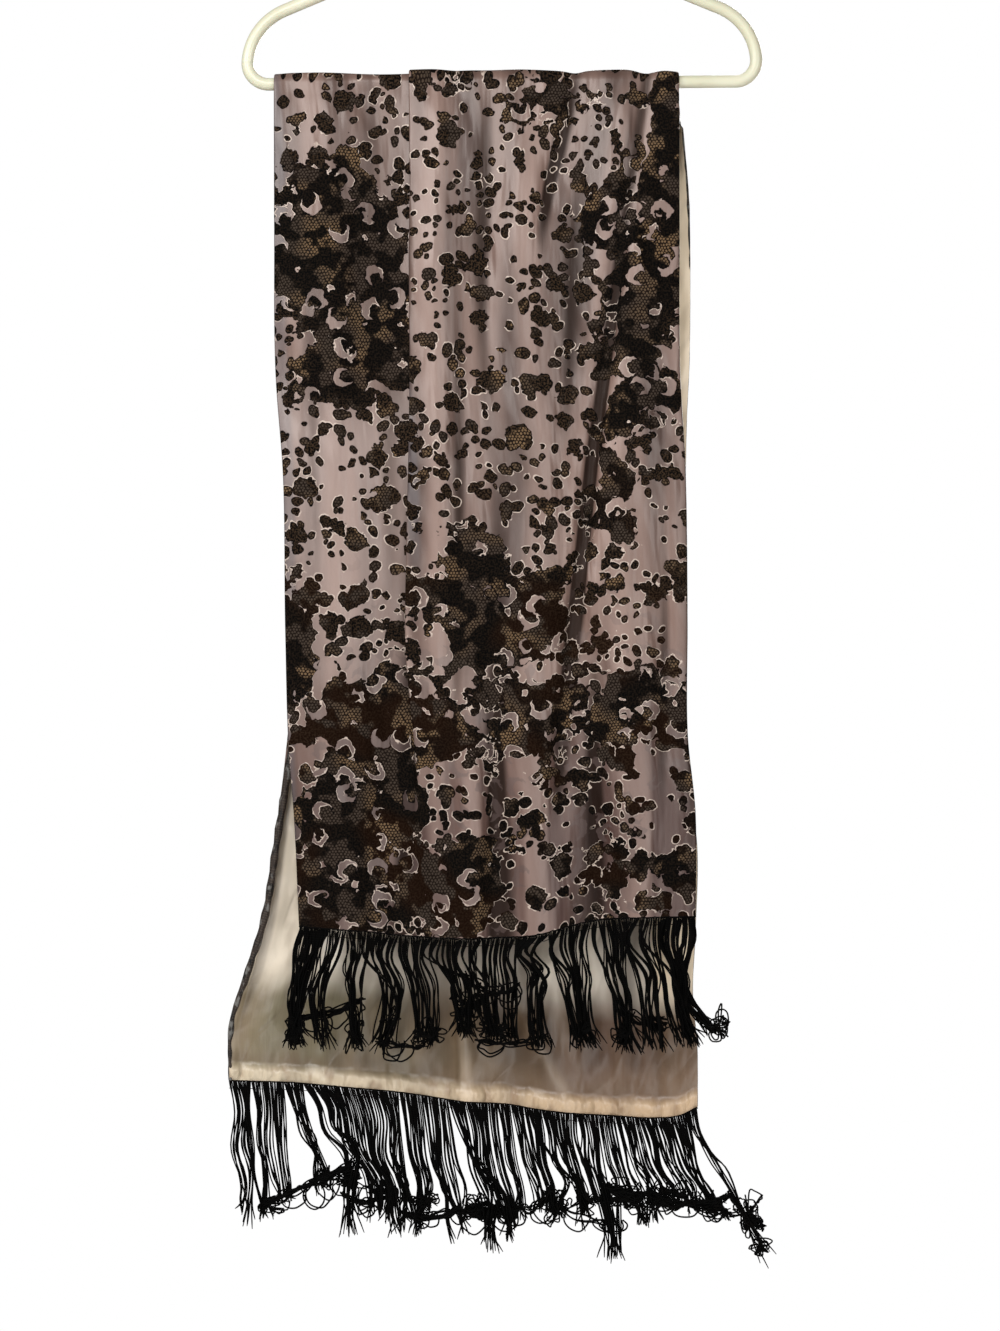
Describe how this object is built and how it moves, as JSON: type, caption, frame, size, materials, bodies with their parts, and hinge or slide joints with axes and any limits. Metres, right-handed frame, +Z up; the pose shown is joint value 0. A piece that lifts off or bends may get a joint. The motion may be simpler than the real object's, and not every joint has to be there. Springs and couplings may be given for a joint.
{
  "type": "fringed scarf on a hanger",
  "caption": "Long lined scarf with a lace-patterned face and a black fringe at each end, folded over the bottom bar of a tubular hanger.",
  "frame": {"origin": "inner top of the hanger's hook, where the rail that carries it bears", "axes": "+Z up, +X to the right of someone facing the scarf's front, +Y away from them"},
  "size_m": [0.4385, 0.0698, 1.1769],
  "materials": {
    "face_cloth": "satin ground with a black burnt-out lace pattern",
    "lining_cloth": "champagne satin",
    "fringe_yarn": "black twisted yarn",
    "hanger_plastic": "moulded off-white plastic"
  },
  "bodies": {
    "root": {"face_front": "face_cloth", "face_back": "face_cloth", "lining_front": "lining_cloth", "lining_back": "lining_cloth", "fringe_front": "fringe_yarn", "fringe_back": "fringe_yarn", "hanger_frame": "hanger_plastic", "hanger_hook": "hanger_plastic"}
  },
  "joints": []
}
